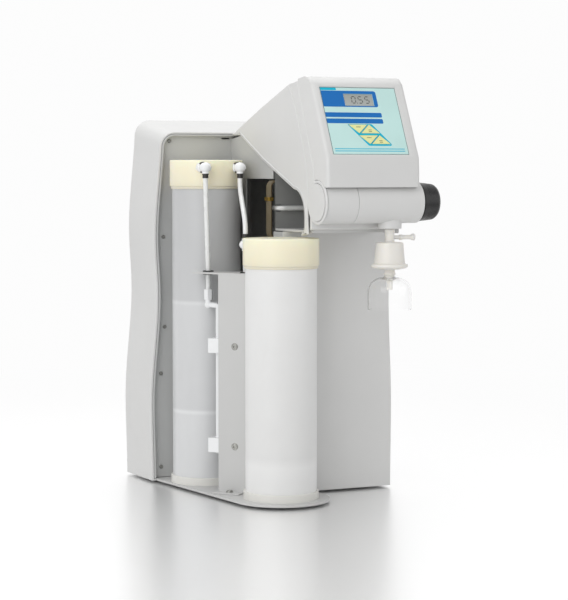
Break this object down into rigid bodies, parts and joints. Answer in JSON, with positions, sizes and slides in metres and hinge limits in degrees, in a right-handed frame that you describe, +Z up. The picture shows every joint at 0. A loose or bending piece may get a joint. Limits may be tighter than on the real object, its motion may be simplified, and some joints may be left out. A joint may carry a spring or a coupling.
{
  "type": "ultrapure water system",
  "caption": "Bench water purifier: waved rear shell, pump tower, overhanging display head with a knob valve, filter and clear bell, and open bay with cartridges.",
  "frame": {"origin": "middle of the footprint on the bench", "axes": "+Z up, -Y towards the user and the display, +X to the right, where the knob is"},
  "size_m": [0.292, 0.39, 0.545],
  "materials": {
    "body_plastic": "moulded ABS, fine matte texture",
    "tray_paint": "powder-coated sheet steel, light grey",
    "white_sheet": "powder-coated sheet steel, off-white",
    "screw_steel": "zinc-plated steel screws",
    "rubber": "black rubber",
    "cap_plastic": "cream polypropylene",
    "rear_body_plastic": "translucent polypropylene over dark media",
    "front_body_plastic": "translucent polypropylene",
    "fitting_plastic": "white acetal",
    "tube_plastic": "polyethylene tube",
    "black_plastic": "black plastic",
    "knob_black": "black moulded plastic, satin",
    "overlay": "printed polyester overlay",
    "lcd": "liquid crystal display",
    "board": "solder mask",
    "key_yellow": "printed polyester",
    "steel": "stainless steel",
    "filter_white": "white polypropylene",
    "bell_clear": "clear moulded plastic",
    "hose_tan": "tan silicone hose",
    "brass": "brass strap",
    "motor_paint": "black painted housing",
    "cast": "cast aluminium",
    "coil": "encapsulated coil",
    "psu_steel": "perforated sheet case"
  },
  "bodies": {
    "chassis": {"rear_shell": "body_plastic", "chassis_tray": "tray_paint", "tray_screws": "screw_steel", "base_plate": "white_sheet", "rubber_feet": "rubber", "partition_wall": "tray_paint", "inner_wall": "tray_paint", "tower_cover": "body_plastic", "neck_cover": "body_plastic", "head_frame": "body_plastic", "head_front": "body_plastic", "head_floor": "white_sheet", "display_overlay": "overlay", "lcd_module": "lcd", "display_board": "board", "barrel_cover": "body_plastic", "barrel_end_cap": "body_plastic", "barrel_body": "body_plastic", "valve_body": "fitting_plastic", "outlet_collar": "body_plastic", "rear_cartridge": "rear_body_plastic", "rear_cap": "cap_plastic", "rear_ring": "fitting_plastic", "front_cartridge": "front_body_plastic", "front_cap": "cap_plastic", "front_ring": "fitting_plastic", "cap_elbows": "fitting_plastic", "collets": "black_plastic", "locking_clips": "black_plastic", "feed_tube": "tube_plastic", "transfer_tube": "tube_plastic", "drain_tube": "tube_plastic", "bracket": "white_sheet", "bracket_screws": "steel", "grommets": "rubber", "flow_module": "fitting_plastic", "module_clips": "fitting_plastic", "module_fitting": "fitting_plastic", "hose_bundle": "hose_tan", "hose_clip": "brass", "product_tubes": "tube_plastic", "pump_motor": "motor_paint", "pump_head": "cast", "solenoid_valve": "coil", "conductivity_cell": "fitting_plastic", "power_supply": "psu_steel", "main_board": "board", "connection_plate": "black_plastic", "mains_inlet": "black_plastic", "water_ports": "fitting_plastic"},
    "knob": {"knob": "knob_black", "valve_spindle": "steel"},
    "filter": {"filter_capsule": "filter_white", "vent_cap": "filter_white", "outlet_bell": "bell_clear"},
    "key_1": {"key_1": "key_yellow"},
    "key_2": {"key_2": "key_yellow"},
    "key_3": {"key_3": "key_yellow"},
    "key_4": {"key_4": "key_yellow"},
    "rocker": {"power_switch": "knob_black"}
  },
  "joints": [
    {"name": "knob_turn", "type": "hinge", "parent": "chassis", "child": "knob", "pos_m": [0.1195, -0.165, 0.386], "axis": [1, 0, 0], "range_deg": [0, 90]},
    {"name": "filter_pull", "type": "slide", "parent": "chassis", "child": "filter", "axis": [0, 0, -1], "range_m": [0, 0.016]},
    {"name": "key_1_press", "type": "slide", "parent": "chassis", "child": "key_1", "axis": [0, 0.8984, -0.4392], "range_m": [0, 0.0006], "stiffness_N_per_m": 400},
    {"name": "key_2_press", "type": "slide", "parent": "chassis", "child": "key_2", "axis": [0, 0.8984, -0.4392], "range_m": [0, 0.0006], "stiffness_N_per_m": 400},
    {"name": "key_3_press", "type": "slide", "parent": "chassis", "child": "key_3", "axis": [0, 0.8984, -0.4392], "range_m": [0, 0.0006], "stiffness_N_per_m": 400},
    {"name": "key_4_press", "type": "slide", "parent": "chassis", "child": "key_4", "axis": [0, 0.8984, -0.4392], "range_m": [0, 0.0006], "stiffness_N_per_m": 400},
    {"name": "rocker_tip", "type": "hinge", "parent": "chassis", "child": "rocker", "pos_m": [0.022, 0.171, 0.082], "axis": [1, 0, 0], "range_deg": [-20, 0]}
  ]
}
